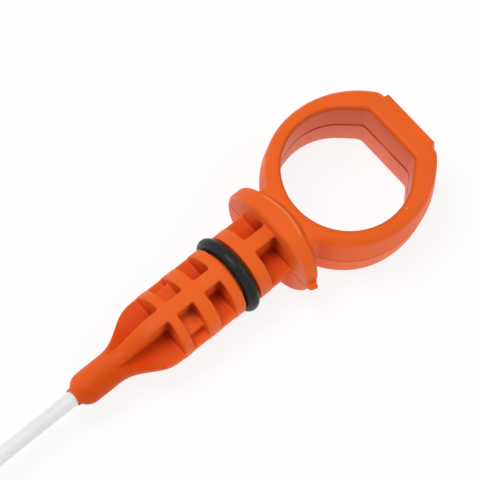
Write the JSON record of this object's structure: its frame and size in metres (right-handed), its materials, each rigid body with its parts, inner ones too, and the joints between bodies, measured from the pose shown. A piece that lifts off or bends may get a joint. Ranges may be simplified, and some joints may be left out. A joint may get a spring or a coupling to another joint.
{
  "type": "engine oil dipstick",
  "caption": "Slim oil level dipstick: a moulded finger ring and stop flange on a ribbed tube plug with a rubber seal, and a thin plain rod with level marks near its tip.",
  "frame": {"origin": "on the plug's axis, in the face of the flange that stops on the tube's mouth", "axes": "+X along the plug towards the finger ring, the rod runs towards -X, +Z is the way the mould opens and square to the ring"},
  "size_m": [0.4023, 0.0336, 0.0206],
  "materials": {
    "orange_plastic": "satin moulded",
    "black_rubber": "smooth, lightly oiled",
    "natural_nylon": "milky, slightly see-through"
  },
  "bodies": {
    "root": {"handle": "orange_plastic", "o_ring": "black_rubber", "rod": "natural_nylon"}
  },
  "joints": []
}
